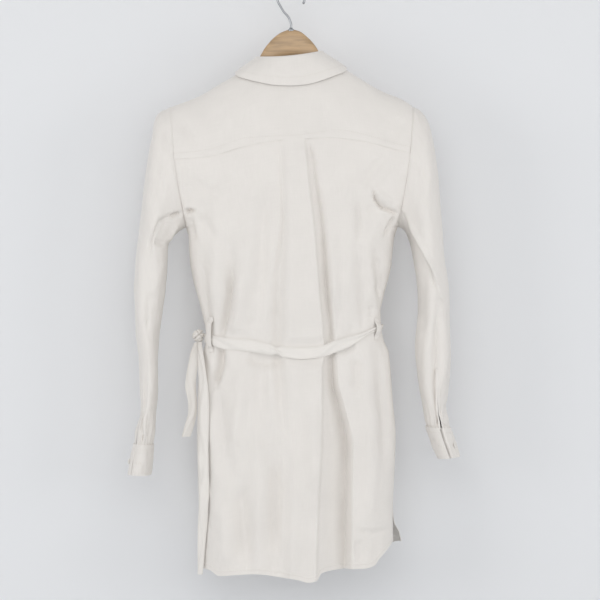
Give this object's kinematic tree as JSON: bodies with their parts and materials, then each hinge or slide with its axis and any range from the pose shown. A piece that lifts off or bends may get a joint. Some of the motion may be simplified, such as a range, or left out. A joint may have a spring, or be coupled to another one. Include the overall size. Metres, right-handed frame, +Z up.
{
  "type": "maternity shirt dress on wooden hanger",
  "caption": "Off-white shirt dress with collar, back yoke, centre box pleat, long sleeves and tie belt, hanging empty on a wooden hanger with a steel hook.",
  "frame": {"origin": "inside top of the hanger's hook, where a rod or peg carries it", "axes": "+Z up, back of the dress towards +Y, wearer's left side at +X"},
  "size_m": [0.57, 0.1372, 1.026],
  "materials": {
    "cotton": "matt plain weave, soft",
    "button": "satin",
    "wood": "satin varnish",
    "steel": "smooth"
  },
  "bodies": {
    "root": {"back": "cotton", "yoke": "cotton", "front_left": "cotton", "front_right": "cotton", "button_band": "cotton", "collar_stand": "cotton", "collar": "cotton", "sleeve_left": "cotton", "sleeve_right": "cotton", "cuff_left": "cotton", "cuff_right": "cotton", "belt_band": "cotton", "belt_knot": "cotton", "belt_tail_short": "cotton", "belt_tail_long": "cotton", "belt_loop_left": "cotton", "belt_loop_right": "cotton", "button_1": "button", "button_2": "button", "button_3": "button", "button_4": "button", "button_5": "button", "button_6": "button", "button_7": "button", "button_8": "button", "hanger": "wood", "hook": "steel"}
  },
  "joints": []
}
